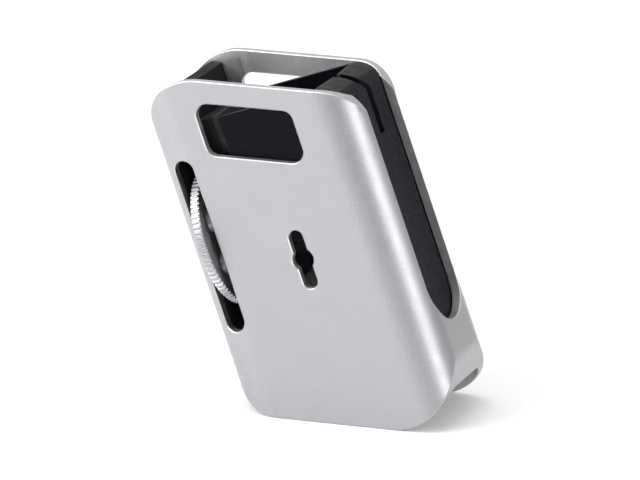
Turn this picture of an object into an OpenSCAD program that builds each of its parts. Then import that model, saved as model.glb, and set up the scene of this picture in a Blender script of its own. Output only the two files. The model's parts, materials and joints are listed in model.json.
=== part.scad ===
// Leaning watch movement holder: an open aluminium sleeve that houses a small screw vice.
// The movement lies across the mouth, between a fixed nest and a jaw that the thumb wheel drives.
// The lean frame has X across the sleeve, Y from front to back and Z up the leaning axis.

/* [Sleeve] */
// Height of the standing sleeve
sleeve_h = 80; // [78:0.5:84]
// Width of the sleeve, square to its leaning axis
sleeve_w = 53.5; // [53:0.1:55]
// Depth of the sleeve, from front to back
sleeve_d = 34.4; // [34.2:0.1:35]
// Wall thickness
wall = 2.4; // [2.2:0.1:2.5]
// Outer radius of the four long edges
edge_r = 9.9; // [9:0.1:10.5]
// Radius of the four corners in the front view
corner_r = 12.7; // [11:0.1:13]
// Lean to the left, from upright
lean = 19.7; // [18:0.1:21]

/* [Openings] */
// Bottom and top height of the front and rear windows
window_z = [62.3, 74.7]; // [60:0.1:76]
// Left and right sides of the windows, from the leaning axis
window_x = [-12.4, 10.6]; // [-13:0.1:11]
// Corner radius of the windows
window_r = 2.8; // [2:0.1:3.5]
// Width of the wheel slot
slot_w = 5.4; // [5:0.1:6]
// Length of the wheel slot
slot_len = 42.7; // [40:0.1:44]
// Width of the keyhole slot
key_w = 3.6; // [3:0.1:4]
// Length of the keyhole slot
key_len = 14.4; // [12:0.1:16]
// Diameter of the keyhole's middle hole
key_d = 5.3; // [5:0.1:6]
// Width of the stem gap in the right wall
gap_w = 20; // [18:0.1:21]
// Lowest point of the stem gap, up the leaning axis
gap_low = -26.7; // [-28:0.1:-25]

/* [Vice] */
// Radius of the thumb wheel
wheel_r = 16.8; // [16.4:0.1:16.9]
// Thickness of the thumb wheel
wheel_t = 2.2; // [2:0.1:2.4]
// Number of straight teeth round the wheel
wheel_teeth = 80; // [60:1:100]
// How far the wheel stands in front of the sleeve
wheel_proud = 3.8; // [3.5:0.1:3.9]
// Diameter of the lead screw
screw_d = 6; // [5:0.1:6]
// Diameter of the guide rods
rod_d = 3; // [2.5:0.1:3.2]
// Width of the movement pocket in the nest
pocket_w = 26; // [24:0.1:26]
// Opening between the jaw faces at rest
opening = 26; // [25:0.1:26.5]
// Height of the jaw tops, up the leaning axis
jaw_top = 36; // [35:0.1:37]
// Depth of the movement pocket
pocket_depth = 5.3; // [4:0.1:6]

/* [Hidden] */
$fn = 96;

c = cos(lean);
s = sin(lean);
in_w = sleeve_w - 2 * wall;
in_d = sleeve_d - 2 * wall;
in_r = edge_r - wall;
// The box round the whole holder is centred on the origin, wheel included
shift_y = wheel_proud / 2;
far = 60;

// Wheel and screw axis
slot_x = -20.05;
axis_y = wheel_r - wheel_proud - sleeve_d / 2;
axis_z = 7.2;
wheel_left = slot_x - wheel_t / 2;
key_x = 1.8;
key_z = -1.4;

// Inner parts, from left to right along the screw
fit_gap = 0.15;
end_recess = 0.2;
plate_t = 2.2;
left_plate_x = -in_w / 2 + fit_gap;
right_plate_x = in_w / 2 - fit_gap - plate_t;
bridge_t = 2.5;
bridge_x = -17.9;
bridge_end = bridge_x + bridge_t;
plate_low = -16;
// Level top of the bridge plate, above the sleeve's middle
bridge_top = 36.6;
pillar_y = 9;
pillar_z = [-13, 24];
pillar_r = 2;
// The pillar screws end inside the left side plate
pillar_end = left_plate_x + 0.8;
bridge_screw_z = [-9, 19];
m2_r = 1;
m2_head_r = 1.9;
m2_head_h = 1;

// Journals of the screw and the bushes round them
journal_r = 2;
bush_r = 3.2;
bush_flange_r = 4.2;
bush_flange_t = 0.6;
run = 0.05;
boss_r = 5;
washer_t = 0.5;
end_play = 0.1;
blind_depth = 1.4;

// Nest, jaw and guides
nest_left = -8.3;
nest_low = 17;
nest_right = right_plate_x - 0.1;
arm_y = in_d / 2 - fit_gap;
web_x = 17.8;
pad_t = 1.4;
pad_h = 9;
vee_w = 20;
vee_depth = 0.7;
face_x = web_x - pad_t - opening;
stem_w = 3;
stem_low = 20;
ledge = 1.2;
carriage_t = 3.6;
carriage_x = face_x - pad_t - carriage_t;
carriage_w = 24.6;
block_len = 10.5;
block_low = -7;
block_high = 15.5;
block_y = [-11.2, 12.5];
rod_y = 8;
rod_z = [-2.5, 11];
guide_r = 2.6;
nut_r = 4.6;
nut_len = 9;
nut_flange_r = 6.4;
nut_flange_t = 1.6;
nut_x = carriage_x + block_len - nut_len;
pad_screw_y = [-7.5, 7.5];
foot_x = 12.4;
foot_top = 26.4;
nest_screw_z = [19.6, 24];
nest_screw_x = 14.9;

module lean_frame() {
    translate([0, shift_y, sleeve_h / 2])
        rotate([0, -lean, 0])
            children();
}

module stand_frame() {
    translate([0, shift_y, sleeve_h / 2])
        children();
}

// A round bar along the screw's direction, from x0, of length len
module bar(r, x0, len, y = 0, z = 0) {
    translate([x0, y, z])
        rotate([0, 90, 0])
            cylinder(r = r, h = len);
}

// A cone along the screw's direction
module cone(r1, r2, x0, len, y = 0, z = 0) {
    translate([x0, y, z])
        rotate([0, 90, 0])
            cylinder(r1 = r1, r2 = r2, h = len);
}

module block(x0, x1, y0, y1, z0, z1) {
    translate([x0, y0, z0])
        cube([x1 - x0, y1 - y0, z1 - z0]);
}

module round_rect(w, h, r) {
    square([w - 2 * r, h], center = true);
    square([w, h - 2 * r], center = true);
    for (x = [-1, 1], y = [-1, 1])
        translate([x * (w / 2 - r), y * (h / 2 - r)])
            circle(r = r);
}

// Front view: a parallelogram with level top and bottom and leaning sides, with round corners.
// x0 and x1 are the sides' distances from the leaning axis, z0 and z1 are heights from the middle
function lean_x(x, z) = x / c - z * s / c;
module lean_window(x0, x1, z0, z1, r) {
    // Centres of the four corner circles, and the points where they meet the sides
    corners = [[x0 + r, z0 + r], [x1 - r, z0 + r], [x1 - r, z1 - r], [x0 + r, z1 - r]];
    centres = [for (q = corners) [lean_x(q[0], q[1]), q[1]]];
    side = [c, s] * r;
    level = [0, r];
    polygon([centres[0] - side, centres[0] - level, centres[1] - level, centres[1] + side,
        centres[2] + side, centres[2] + level, centres[3] + level, centres[3] - side]);
    for (q = centres)
        translate(q)
            circle(r = r);
}

module through_y(y0, y1) {
    translate([0, y1, 0])
        rotate([90, 0, 0])
            linear_extrude(y1 - y0)
                children();
}

module outline(y0, y1) {
    through_y(y0, y1)
        lean_window(-sleeve_w / 2, sleeve_w / 2, -sleeve_h / 2, sleeve_h / 2, corner_r);
}

module tube(w, d, r) {
    translate([0, 0, -far])
        linear_extrude(2 * far)
            round_rect(w, d, r);
}

// The room inside the sleeve, less the fit gap all round
module room() {
    tube(in_w - 2 * fit_gap, in_d - 2 * fit_gap, in_r - fit_gap);
}

// Keeps a lean frame piece inside the sleeve's rounded ends
module within_ends() {
    intersection() {
        children();
        rotate([0, lean, 0])
            through_y(-in_d, in_d)
                lean_window(-sleeve_w / 2, sleeve_w / 2, -sleeve_h / 2 + end_recess,
                    sleeve_h / 2 - end_recess, corner_r);
    }
}

module obround(w, len) {
    square([w, len - w], center = true);
    for (z = [-1, 1])
        translate([0, z * (len - w) / 2])
            circle(r = w / 2);
}

// Cuts the front wall, deep enough for its round edges too
module front_cut(x, z) {
    translate([x, 0, z])
        through_y(-sleeve_d, -in_d / 2 + in_r / 2)
            children();
}

module stem_gap() {
    translate([in_w / 2 - in_r, 0, gap_low + gap_w / 2]) {
        bar(gap_w / 2, 0, far);
        block(0, far, -gap_w / 2, gap_w / 2, 0, far + far);
    }
}

// A countersunk screw along +X: the head's flat face is at x0 and the shank runs len beyond it
module flush_screw(x0, len, y, z) {
    difference() {
        union() {
            cone(m2_head_r, m2_r, x0, m2_head_h, y, z);
            bar(m2_r, x0, len, y, z);
        }
        block(x0 - 0.1, x0 + 0.45, y - m2_head_r, y + m2_head_r, z - 0.2, z + 0.2);
    }
}

// The seat that a countersunk screw needs
module flush_seat(x0, len, y, z) {
    cone(m2_head_r, m2_r, x0, m2_head_h, y, z);
    bar(m2_head_r, x0 - 3, 3, y, z);
    bar(m2_r, x0, len, y, z);
}

// Turns +X pieces to run forwards from the rear wall
module from_rear(x, z) {
    translate([x, sleeve_d / 2, z])
        rotate([0, 0, -90])
            children();
}

module each_bridge_screw() {
    for (z = bridge_screw_z)
        from_rear(bridge_x + bridge_t / 2, z)
            children();
}

module each_nest_screw() {
    for (z = nest_screw_z)
        from_rear(nest_screw_x, z)
            children();
}

module sleeve() {
    color([0.78, 0.78, 0.80])
        difference() {
            intersection() {
                stand_frame()
                    outline(-sleeve_d, sleeve_d);
                lean_frame()
                    tube(sleeve_w, sleeve_d, edge_r);
            }
            lean_frame() {
                tube(in_w, in_d, in_r);
                front_cut(slot_x, axis_z)
                    obround(slot_w, slot_len);
                front_cut(key_x, key_z) {
                    obround(key_w, key_len);
                    circle(r = key_d / 2);
                }
                stem_gap();
                for (z = pillar_z)
                    flush_seat(-sleeve_w / 2, 6, 0, z);
                each_bridge_screw()
                    flush_seat(0, 5, 0, 0);
                each_nest_screw()
                    flush_seat(0, 5, 0, 0);
            }
            stand_frame()
                through_y(-sleeve_d, sleeve_d)
                    lean_window(window_x[0], window_x[1], window_z[0] - sleeve_h / 2,
                        window_z[1] - sleeve_h / 2, window_r);
        }
}

module left_side_plate() {
    color([0.10, 0.10, 0.11])
        lean_frame()
            within_ends()
                difference() {
                    intersection() {
                        room();
                        block(left_plate_x, left_plate_x + plate_t, -far, far, plate_low - 12, far);
                    }
                    bar(bush_r, left_plate_x - 1, plate_t + 2, axis_y, axis_z);
                    for (z = pillar_z) {
                        bar(m2_r, left_plate_x - 1, plate_t + 2, 0, z);
                        bar(m2_r, pillar_end, plate_t + 2, pillar_y, z);
                    }
                }
}

module right_side_plate() {
    color([0.10, 0.10, 0.11])
        lean_frame()
            within_ends()
                difference() {
                    intersection() {
                        room();
                        block(right_plate_x, right_plate_x + plate_t, -far, far, -30, far);
                    }
                    bar(bush_r, right_plate_x - 1, 1 + blind_depth, axis_y, axis_z);
                    for (z = rod_z)
                        bar(rod_d / 2, right_plate_x - 1, 1 + blind_depth, rod_y, z);
                    block(right_plate_x - 1, far, -stem_w / 2, stem_w / 2, stem_low, far);
                }
}

module bridge_plate() {
    color([0.12, 0.12, 0.13])
        lean_frame()
            difference() {
                intersection() {
                    room();
                    block(bridge_x, bridge_x + bridge_t, -11.5, far, plate_low, far);
                    rotate([0, lean, 0])
                        block(-far, far, -far, far, -far, bridge_top);
                }
                bar(bush_r, bridge_x - 1, bridge_t + 2, axis_y, axis_z);
                for (z = rod_z)
                    bar(rod_d / 2, bridge_x - 1, bridge_t + 2, rod_y, z);
                for (z = pillar_z) {
                    bar(m2_r, bridge_x - 1, bridge_t + 2, pillar_y, z);
                    cone(m2_r, m2_head_r, bridge_end - m2_head_h, m2_head_h, pillar_y, z);
                }
                each_bridge_screw()
                    bar(m2_r, 0, 8);
            }
}

module wheel_pillars() {
    color([0.72, 0.60, 0.35])
        lean_frame()
            for (z = pillar_z)
                difference() {
                    bar(pillar_r, left_plate_x + plate_t, bridge_x - left_plate_x - plate_t,
                        pillar_y, z);
                    bar(m2_r, left_plate_x, 20, pillar_y, z);
                }
}

// Screws that run from the bridge plate through the pillars into the left side plate
module pillar_screws() {
    color([0.55, 0.55, 0.57])
        lean_frame()
            for (z = pillar_z)
                difference() {
                    union() {
                        cone(m2_r, m2_head_r, bridge_end - m2_head_h, m2_head_h, pillar_y, z);
                        bar(m2_r, pillar_end, bridge_end - pillar_end, pillar_y, z);
                    }
                    block(bridge_end - 0.45, far, pillar_y - m2_head_r,
                        pillar_y + m2_head_r, z - 0.2, z + 0.2);
                }
}

module wall_screws() {
    color([0.55, 0.55, 0.57])
        lean_frame()
            for (z = pillar_z)
                flush_screw(-sleeve_w / 2, wall + fit_gap + plate_t, 0, z);
}

module bridge_screws() {
    color([0.55, 0.55, 0.57])
        lean_frame()
            each_bridge_screw()
                flush_screw(0, 8, 0, 0);
}

module nest_screws() {
    color([0.55, 0.55, 0.57])
        lean_frame()
            each_nest_screw()
                flush_screw(0, 7, 0, 0);
}

module nest_block() {
    color([0.20, 0.21, 0.24])
        lean_frame()
            within_ends()
                difference() {
                    intersection() {
                        room();
                        block(nest_left, nest_right, -arm_y, arm_y, nest_low, jaw_top);
                    }
                    block(nest_left - 1, web_x, -pocket_w / 2, pocket_w / 2,
                        foot_top, jaw_top + 1);
                    block(nest_left - 1, foot_x, -pocket_w / 2, pocket_w / 2,
                        nest_low - 1, foot_top + 1);
                    block(0, far, -stem_w / 2, stem_w / 2, stem_low, far);
                    for (y = pad_screw_y)
                        bar(m2_r, web_x - 1, 3.8, y, jaw_top - pad_h / 2);
                    each_nest_screw()
                        bar(m2_r, 0, 8);
                }
}

// A jaw pad: flat back at x = 0, a shallow V in its face and a ledge below the movement
module jaw_pad(w) {
    difference() {
        block(0, pad_t + ledge, -w / 2, w / 2, jaw_top - pad_h, jaw_top);
        block(pad_t, far, -w, w, jaw_top - pocket_depth, far);
        translate([0, 0, jaw_top - pocket_depth])
            linear_extrude(far)
                polygon([[pad_t + 1, -vee_w / 2], [pad_t, -vee_w / 2], [pad_t - vee_depth, 0],
                    [pad_t, vee_w / 2], [pad_t + 1, vee_w / 2]]);
        for (y = pad_screw_y) {
            bar(m2_r, -1, 5, y, jaw_top - pad_h / 2);
            bar(m2_head_r, pad_t - 0.8, 5, y, jaw_top - pad_h / 2);
        }
    }
}

module fixed_jaw_pads() {
    color([0.16, 0.16, 0.17])
        lean_frame()
            difference() {
                translate([web_x, 0, 0])
                    rotate([0, 0, 180])
                        jaw_pad(pocket_w - 1);
                block(0, far, -stem_w / 2, stem_w / 2, jaw_top - pad_h - 1, far);
            }
}

module pad_screw(y) {
    difference() {
        union() {
            bar(m2_head_r, pad_t - 0.8, 0.7, y, jaw_top - pad_h / 2);
            bar(m2_r, pad_t - 0.8 - 3, 3, y, jaw_top - pad_h / 2);
        }
        block(pad_t - 0.4, pad_t, y - m2_head_r, y + m2_head_r, jaw_top - pad_h / 2 - 0.2,
            jaw_top - pad_h / 2 + 0.2);
    }
}

module fixed_pad_screws() {
    color([0.60, 0.60, 0.62])
        lean_frame()
            translate([web_x, 0, 0])
                rotate([0, 0, 180])
                    for (y = pad_screw_y)
                        pad_screw(y);
}

module moving_jaw_pad() {
    color([0.16, 0.16, 0.17])
        lean_frame()
            translate([face_x - pad_t, 0, 0])
                jaw_pad(carriage_w - 0.6);
}

module moving_pad_screws() {
    color([0.60, 0.60, 0.62])
        lean_frame()
            translate([face_x - pad_t, 0, 0])
                for (y = pad_screw_y)
                    pad_screw(y);
}

module guide_rod(z) {
    color([0.75, 0.76, 0.78])
        lean_frame()
            bar(rod_d / 2, bridge_x, right_plate_x + blind_depth - bridge_x, rod_y, z);
}

module upper_guide_rod() {
    guide_rod(rod_z[1]);
}

module lower_guide_rod() {
    guide_rod(rod_z[0]);
}

module bearing_bush(x0, len, flange_t = 0) {
    color([0.70, 0.52, 0.25])
        lean_frame()
            difference() {
                union() {
                    bar(bush_r, x0, len, axis_y, axis_z);
                    if (flange_t > 0)
                        bar(bush_flange_r, x0 - flange_t, flange_t, axis_y, axis_z);
                }
                bar(journal_r + run, x0 - 1, len + 2, axis_y, axis_z);
            }
}

module outer_bearing_bush() {
    bearing_bush(left_plate_x, plate_t);
}

module bridge_bearing_bush() {
    bearing_bush(bridge_x, bridge_t);
}

module end_bearing_bush() {
    bearing_bush(right_plate_x, blind_depth, bush_flange_t);
}

// The threaded length lies between the bridge bush and the end bush
thread_x = bridge_end + 0.3;
thread_end = right_plate_x - bush_flange_t - 0.3;
module lead_screw() {
    color([0.66, 0.66, 0.68])
        lean_frame() {
            bar(journal_r, left_plate_x + 0.4, thread_x - left_plate_x - 0.4, axis_y, axis_z);
            bar(screw_d / 2, thread_x, thread_end - thread_x, axis_y, axis_z);
            bar(journal_r, thread_end, right_plate_x + blind_depth - end_play - thread_end,
                axis_y, axis_z);
        }
}

// The hub fills the room between the two washers
hub_x = left_plate_x + plate_t + end_play + washer_t;
hub_end = bridge_x - end_play - washer_t;
rim_in_r = wheel_r - 1.2;
module wheel_hub() {
    color([0.09, 0.09, 0.10])
        lean_frame()
            difference() {
                union() {
                    bar(rim_in_r, wheel_left, wheel_t, axis_y, axis_z);
                    bar(boss_r, hub_x, hub_end - hub_x, axis_y, axis_z);
                }
                bar(journal_r, hub_x - 1, 10, axis_y, axis_z);
                translate([slot_x, axis_y, axis_z])
                    cylinder(r = 0.8, h = boss_r + 2);
                for (k = [0:5])
                    translate([0, axis_y, axis_z])
                        rotate([30 + 60 * k, 0, 0])
                            bar(2.6, wheel_left - 1, wheel_t + 2, 10.4, 0);
            }
}

tooth_depth = 0.4;
module wheel_rim() {
    pitch = 360 / wheel_teeth;
    outline_points = [for (k = [0:wheel_teeth - 1], j = [0:2])
        (j == 0 ? wheel_r - tooth_depth : wheel_r)
            * [cos(pitch * (k + 0.33 * j)), sin(pitch * (k + 0.33 * j))]];
    color([0.86, 0.86, 0.86])
        lean_frame()
            translate([wheel_left, axis_y, axis_z])
                rotate([0, 90, 0])
                    difference() {
                        linear_extrude(wheel_t)
                            polygon(outline_points);
                        translate([0, 0, -1])
                            cylinder(r = rim_in_r, h = wheel_t + 2);
                    }
}

module hub_grub_screw() {
    color([0.40, 0.40, 0.42])
        lean_frame()
            translate([slot_x, axis_y, axis_z + journal_r])
                difference() {
                    cylinder(r = 0.8, h = boss_r - journal_r + 1);
                    translate([0, 0, boss_r - journal_r + 0.4])
                        cylinder(r = 0.4, h = 1, $fn = 6);
                }
}

module thrust_washers() {
    color([0.72, 0.58, 0.30])
        lean_frame()
            for (x = [hub_x - washer_t, hub_end])
                difference() {
                    bar(3.6, x, washer_t, axis_y, axis_z);
                    bar(journal_r, x - 1, washer_t + 2, axis_y, axis_z);
                }
}

// The clip that keeps the screw and wheel from moving to the left
module retaining_clip() {
    color([0.45, 0.45, 0.47])
        lean_frame()
            difference() {
                bar(3, bridge_end + end_play, 0.2, axis_y, axis_z);
                bar(journal_r, bridge_end, 1, axis_y, axis_z);
            }
}

module jaw_carriage() {
    color([0.13, 0.13, 0.14])
        lean_frame()
            difference() {
                union() {
                    block(carriage_x, carriage_x + block_len, block_y[0], block_y[1],
                        block_low, block_high);
                    block(carriage_x, carriage_x + carriage_t, block_y[0], block_y[1],
                        block_high, nest_low);
                    block(carriage_x, carriage_x + carriage_t, -carriage_w / 2,
                        carriage_w / 2, nest_low, jaw_top);
                }
                bar(screw_d / 2 + 0.4, carriage_x - 1, 20, axis_y, axis_z);
                bar(nut_r, nut_x, 20, axis_y, axis_z);
                for (z = rod_z)
                    bar(guide_r, carriage_x - 1, 20, rod_y, z);
                for (y = pad_screw_y)
                    bar(m2_r, carriage_x + 0.5, 6, y, jaw_top - pad_h / 2);
                for (k = [0:2])
                    nut_screw_place(k)
                        bar(0.7, nut_x + nut_len - 3, 6);
            }
}

module nut_screw_place(k) {
    translate([0, axis_y, axis_z])
        rotate([60 + 120 * k, 0, 0])
            translate([0, 5.5, 0])
                children();
}

module lead_nut() {
    color([0.74, 0.60, 0.30])
        lean_frame()
            difference() {
                union() {
                    bar(nut_r, nut_x, nut_len, axis_y, axis_z);
                    bar(nut_flange_r, nut_x + nut_len, nut_flange_t, axis_y, axis_z);
                }
                bar(screw_d / 2 + run, nut_x - 1, nut_len + 4, axis_y, axis_z);
                for (k = [0:2])
                    nut_screw_place(k)
                        bar(0.7, nut_x + nut_len - 1, 6);
            }
}

module nut_screws() {
    color([0.60, 0.60, 0.62])
        lean_frame()
            for (k = [0:2])
                nut_screw_place(k) {
                    bar(0.7, nut_x + nut_len - 2.5, 2.5 + nut_flange_t);
                    bar(0.85, nut_x + nut_len + nut_flange_t, 0.5);
                }
}

module guide_bushes() {
    color([0.70, 0.52, 0.25])
        lean_frame()
            for (z = rod_z)
                difference() {
                    bar(guide_r, carriage_x, block_len, rod_y, z);
                    bar(rod_d / 2 + run, carriage_x - 1, block_len + 2, rod_y, z);
                }
}

sleeve();
left_side_plate();
right_side_plate();
bridge_plate();
wheel_pillars();
pillar_screws();
wall_screws();
bridge_screws();
nest_block();
nest_screws();
fixed_jaw_pads();
fixed_pad_screws();
upper_guide_rod();
lower_guide_rod();
outer_bearing_bush();
bridge_bearing_bush();
end_bearing_bush();
lead_screw();
wheel_hub();
wheel_rim();
hub_grub_screw();
thrust_washers();
retaining_clip();
jaw_carriage();
lead_nut();
nut_screws();
guide_bushes();
moving_jaw_pad();
moving_pad_screws();
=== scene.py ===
"""Leaning watch movement holder: sleeve, wheel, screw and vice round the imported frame."""

import json
import math

import bmesh
import bpy
import numpy as np
from bpy.props import FloatProperty, FloatVectorProperty, IntProperty, PointerProperty
from mathutils import Matrix, Vector
from mathutils.geometry import delaunay_2d_cdt


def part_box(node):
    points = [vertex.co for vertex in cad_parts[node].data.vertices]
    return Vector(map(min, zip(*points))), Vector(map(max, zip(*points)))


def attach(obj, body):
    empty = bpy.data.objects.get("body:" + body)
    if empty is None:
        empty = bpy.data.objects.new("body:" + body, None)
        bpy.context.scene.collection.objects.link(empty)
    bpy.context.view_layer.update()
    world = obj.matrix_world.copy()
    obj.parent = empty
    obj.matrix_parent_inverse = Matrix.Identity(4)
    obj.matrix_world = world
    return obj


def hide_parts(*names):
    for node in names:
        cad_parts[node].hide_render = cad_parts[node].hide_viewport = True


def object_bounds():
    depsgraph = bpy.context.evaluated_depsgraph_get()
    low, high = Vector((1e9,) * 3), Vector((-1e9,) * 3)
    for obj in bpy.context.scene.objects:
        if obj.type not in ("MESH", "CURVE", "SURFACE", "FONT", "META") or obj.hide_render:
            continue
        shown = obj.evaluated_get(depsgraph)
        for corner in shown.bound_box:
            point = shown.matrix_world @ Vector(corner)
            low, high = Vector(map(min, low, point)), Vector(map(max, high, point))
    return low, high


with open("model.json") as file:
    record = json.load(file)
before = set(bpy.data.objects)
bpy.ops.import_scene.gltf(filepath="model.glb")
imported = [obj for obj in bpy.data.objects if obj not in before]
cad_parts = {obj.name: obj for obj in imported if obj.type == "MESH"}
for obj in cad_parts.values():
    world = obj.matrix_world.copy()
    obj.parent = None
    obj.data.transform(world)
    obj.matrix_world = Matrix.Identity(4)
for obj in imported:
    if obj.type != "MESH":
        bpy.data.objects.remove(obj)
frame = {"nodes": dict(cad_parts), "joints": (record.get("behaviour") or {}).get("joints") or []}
cad_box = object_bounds()

bl_info = {
    "name": "Leaning Movement Holder",
    "version": (1, 0, 0),
    "blender": (4, 5, 0),
    "location": "View3D > Sidebar > Holder",
    "description": "Builds a leaning watch movement holder round its packed frame",
    "category": "Object",
}

MM = 0.001

# The vice's travel line leans with the sleeve: its direction is the lean frame's first axis
ACROSS = np.array(next(j["axis"] for j in frame["joints"] if j["type"] == "slide"))
UPWARD = np.array([-ACROSS[2], 0.0, ACROSS[0]])
COS, SIN = float(ACROSS[0]), float(ACROSS[2])
SLEEVE_BOX = np.array(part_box("sleeve"))
SLEEVE_MIDDLE = SLEEVE_BOX.mean(axis=0)
SLEEVE_DEPTH = float(np.ptp(SLEEVE_BOX[:, 1]))
SLEEVE_HEIGHT = float(np.ptp(SLEEVE_BOX[:, 2]))
WHEEL_CENTRE = np.array(next(j["pos_m"] for j in frame["joints"] if j["type"] == "hinge"))

WHEEL_ACROSS = float((WHEEL_CENTRE - SLEEVE_MIDDLE) @ ACROSS)
WHEEL_RADIUS, HUB_RADIUS = (float(np.ptp(np.array(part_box(node))[:, 1])) / 2 / MM
                            for node in ("wheel_rim", "wheel_hub"))
SCREW_AXIS = WHEEL_CENTRE - WHEEL_ACROSS * ACROSS

# Countersunk screws of the sleeve: heights up the leaning axis in the left wall, and places
# across and up in the rear wall
WALL_SCREWS = [-13 * MM, 24 * MM]
REAR_SCREWS = [(-16.65 * MM, -9 * MM), (-16.65 * MM, 19 * MM),
               (14.9 * MM, 19.6 * MM), (14.9 * MM, 24 * MM)]

TOOTH_STEPS = 12
# Distance in metres and turn in radians that count as none
WELD = 1e-6
SLACK = 1e-6
# Clear distance between the points inside a filled outline and the outline itself
CLEAR = 0.35 * MM
# Width of the cut round a countersunk seat, and the seat's depth
SEAT_CUT, SEAT_DEPTH = 0.1 * MM, 1.0 * MM
# Chamfer at the lead screw's ends, and the run from its journals into the thread
SCREW_CHAMFER, SCREW_RUN = 0.3 * MM, 0.1 * MM
# Degrees between faces from which a kept piece's edge is rounded
EDGE_ANGLE = 32
OUTER, INNER = 0, 1

# The sleeve's finishes, and their numbers on its faces; the inside's drawn finish is partly painted
# light
SLEEVE_FINISHES = ("blasted_aluminium", "milled_aluminium", "bright_cut", "drawn_aluminium_painted_light")
BLASTED, MILLED, BRIGHT_CUT, DRAWN_PAINTED_LIGHT = range(4)

# Sockets that a colour mix uses out of all that a Mix node has
MIX_SHARE, MIX_FIRST, MIX_SECOND, MIX_RESULT = 0, 6, 7, 2
# How much of a colour its dark patches keep, and the size in millimetres of patches of wear
DARK_SHARE = 0.35
WEAR_PATCH = 1.6
EVEN = (1.0, 1.0, 1.0)

# Soft boxes: name, place and target in metres, size in metres, power in watts
SOFT_BOXES = (("top_box", (-0.25, 0.1, 1.25), SLEEVE_MIDDLE, (1.2, 1.2), 7.5),
              ("left_box", (-0.85, -0.75, 0.75), (-0.15, -0.4, 0.0), (0.9, 0.9), 14.0),
              ("right_box", (1.05, -0.25, 0.35), SLEEVE_MIDDLE, (0.5, 0.9), 4.2))
# The room's tint at the horizon and from this height up
ROOM_TINTS = ((0.0, (0.30, 0.30, 0.31, 1.0)), (0.3, (1.0, 1.0, 1.0, 1.0)))
FLOOR_REACH = 6.0
FLOOR_GLOW = 0.12
SENSOR_WIDTH = 36.0


# ---------------------------------------------------------------- sizes and colours


def length(label, text, millimetres):
    """A length that a user may change, given in millimetres."""
    return FloatProperty(name=label, description=text, default=millimetres * MM, min=0.0,
                         unit="LENGTH", precision=5)


def place(label, text, millimetres):
    """A signed distance from the sleeve's leaning axis or from its middle height."""
    return FloatProperty(name=label, description=text, default=millimetres * MM,
                         unit="LENGTH", precision=5)


def angle(label, text, degrees):
    """An angle that a user may change, given in degrees."""
    return FloatProperty(name=label, description=text, default=math.radians(degrees),
                         subtype="ANGLE")


def tint(label, text, colour):
    """A linear colour that a user may change."""
    return FloatVectorProperty(name=label, description=text, default=colour, subtype="COLOR",
                               min=0.0, max=1.0)


class SleeveSizes(bpy.types.PropertyGroup):
    """Sizes of the sleeve and of the openings in it."""

    width: length("Width", "Width of the sleeve, square to its leaning axis", 53.5)
    wall: length("Wall", "Thickness of the sleeve's wall", 2.4)
    edge_radius: length("Edge radius", "Outer radius of the four long edges", 9.9)
    corner_radius: length("Corner radius", "Radius of the corners in the front view", 12.7)
    chamfer: length("Chamfer", "Width of the bright cut along every edge", 0.24)
    window_left: place("Window left", "Left side of the windows", -12.4)
    window_right: place("Window right", "Right side of the windows", 10.6)
    window_bottom: length("Window bottom", "Height of the windows' lower side", 62.3)
    window_top: length("Window top", "Height of the windows' upper side", 74.7)
    window_radius: length("Window radius", "Corner radius of the windows", 2.8)
    slot_across: place("Slot place", "Middle of the wheel slot, across", -20.05)
    slot_up: place("Slot height", "Middle of the wheel slot, up the axis", 7.2)
    slot_width: length("Slot width", "Width of the wheel slot", 5.4)
    slot_length: length("Slot length", "Length of the wheel slot", 42.7)
    key_across: place("Keyhole place", "Middle of the keyhole, across", 1.8)
    key_up: place("Keyhole height", "Middle of the keyhole, up the axis", -1.4)
    key_width: length("Keyhole width", "Width of the keyhole's slot", 3.6)
    key_length: length("Keyhole length", "Length of the keyhole's slot", 14.4)
    key_hole: length("Keyhole hole", "Diameter of the keyhole's middle hole", 5.3)
    gap_width: length("Gap width", "Width of the stem gap in the right wall", 20.0)
    gap_low: place("Gap low", "Lowest point of the stem gap, up the axis", -26.7)
    head_radius: length("Head radius", "Radius of a countersunk screw head", 1.9)
    shank_radius: length("Shank radius", "Radius of a screw's shank", 1.0)


class WheelSizes(bpy.types.PropertyGroup):
    """Sizes of the thumb wheel's rim."""

    radius: length("Radius", "Radius over the teeth", WHEEL_RADIUS)
    inner_radius: length("Inner radius", "Radius of the rim's bore", HUB_RADIUS)
    thickness: length("Thickness", "Thickness of the rim", 2.2)
    tooth_depth: length("Tooth depth", "Depth of the straight teeth", 0.40)
    chamfer: length("Chamfer", "Chamfer at both sides of the teeth", 0.22)
    teeth: IntProperty(name="Teeth", description="Number of straight teeth", default=80, min=12)


class ScrewSizes(bpy.types.PropertyGroup):
    """Sizes of the lead screw."""

    lead: length("Lead", "Travel in one turn", 2.0)
    crest_radius: length("Crest radius", "Radius over the thread", 3.0)
    root_radius: length("Root radius", "Radius under the thread and of the journals", 2.0)
    left_end: place("Left end", "Left end of the screw, across", -23.8)
    right_end: place("Right end", "Right end of the screw, across", 23.3)
    thread_left: place("Thread left", "Left end of the thread, across", -15.1)
    thread_right: place("Thread right", "Right end of the thread, across", 21.1)


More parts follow.
